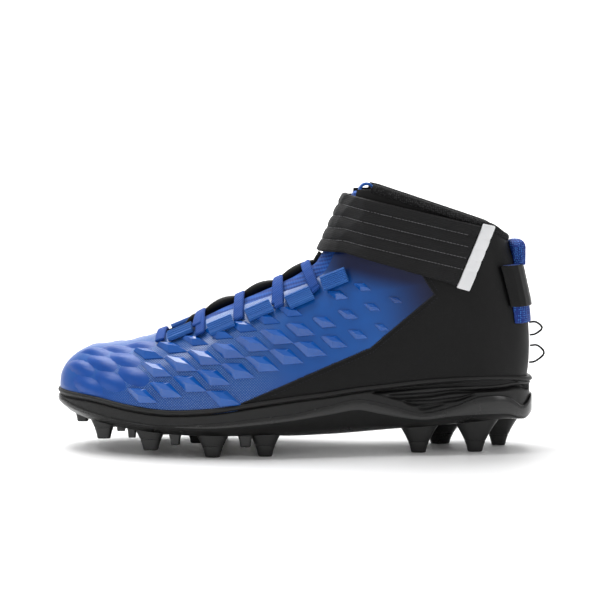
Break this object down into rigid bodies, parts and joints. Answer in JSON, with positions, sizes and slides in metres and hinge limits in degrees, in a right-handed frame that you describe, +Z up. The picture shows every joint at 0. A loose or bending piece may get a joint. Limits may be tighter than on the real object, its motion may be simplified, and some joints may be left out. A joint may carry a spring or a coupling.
{
  "type": "american football cleat",
  "caption": "Left mid-cut football boot with a hollow textured upper, webbing lace loops, ankle strap, foam midsole and a studded plastic plate.",
  "frame": {"origin": "on the ground, under the middle of the whole shoe's box", "axes": "+Z up, toe along -Y and heel along +Y, outer side of the foot +X"},
  "size_m": [0.105, 0.3058, 0.1659],
  "materials": {
    "upper_shell": "glossy raised shell, blue in front and black behind",
    "tongue_mesh": "matte textile",
    "insole_cloth": "matte textile",
    "midsole_foam": "matte moulded foam",
    "plate_plastic": "gloss",
    "strap_elastic": "ribbed elastic",
    "tab_plastic": "satin",
    "webbing": "ribbed webbing",
    "lace_cord": "flat woven lace",
    "black_knit": "matte knit"
  },
  "bodies": {
    "root": {"upper": "upper_shell", "insole": "insole_cloth", "tongue": "tongue_mesh", "midsole": "midsole_foam", "outsole_plate": "plate_plastic", "stud_tip_front_outer": "plate_plastic", "stud_tip_front_inner": "plate_plastic", "stud_tip_ball_outer": "plate_plastic", "stud_tip_ball_inner": "plate_plastic", "stud_tip_mid_outer": "plate_plastic", "stud_tip_mid_inner": "plate_plastic", "stud_tip_rear_outer": "plate_plastic", "stud_tip_rear_inner": "plate_plastic", "stud_tip_heel_front_outer": "plate_plastic", "stud_tip_heel_front_inner": "plate_plastic", "stud_tip_heel_rear_outer": "plate_plastic", "stud_tip_heel_rear_inner": "plate_plastic", "ankle_strap": "strap_elastic", "strap_end_tab": "tab_plastic", "lace_loop_outer_1": "webbing", "lace_loop_inner_1": "webbing", "lace_loop_outer_2": "webbing", "lace_loop_inner_2": "webbing", "lace_loop_outer_3": "webbing", "lace_loop_inner_3": "webbing", "lace_loop_outer_4": "webbing", "lace_loop_inner_4": "webbing", "lace_loop_outer_5": "webbing", "lace_loop_inner_5": "webbing", "lace_crossing_1": "lace_cord", "lace_crossing_2": "lace_cord", "lace_crossing_3": "lace_cord", "lace_crossing_4": "lace_cord", "lace_bar_front": "lace_cord", "heel_pull": "webbing", "heel_pull_sleeve": "black_knit", "heel_cord_upper": "black_knit", "heel_cord_lower": "black_knit", "tongue_pull_tab": "webbing"}
  },
  "joints": []
}
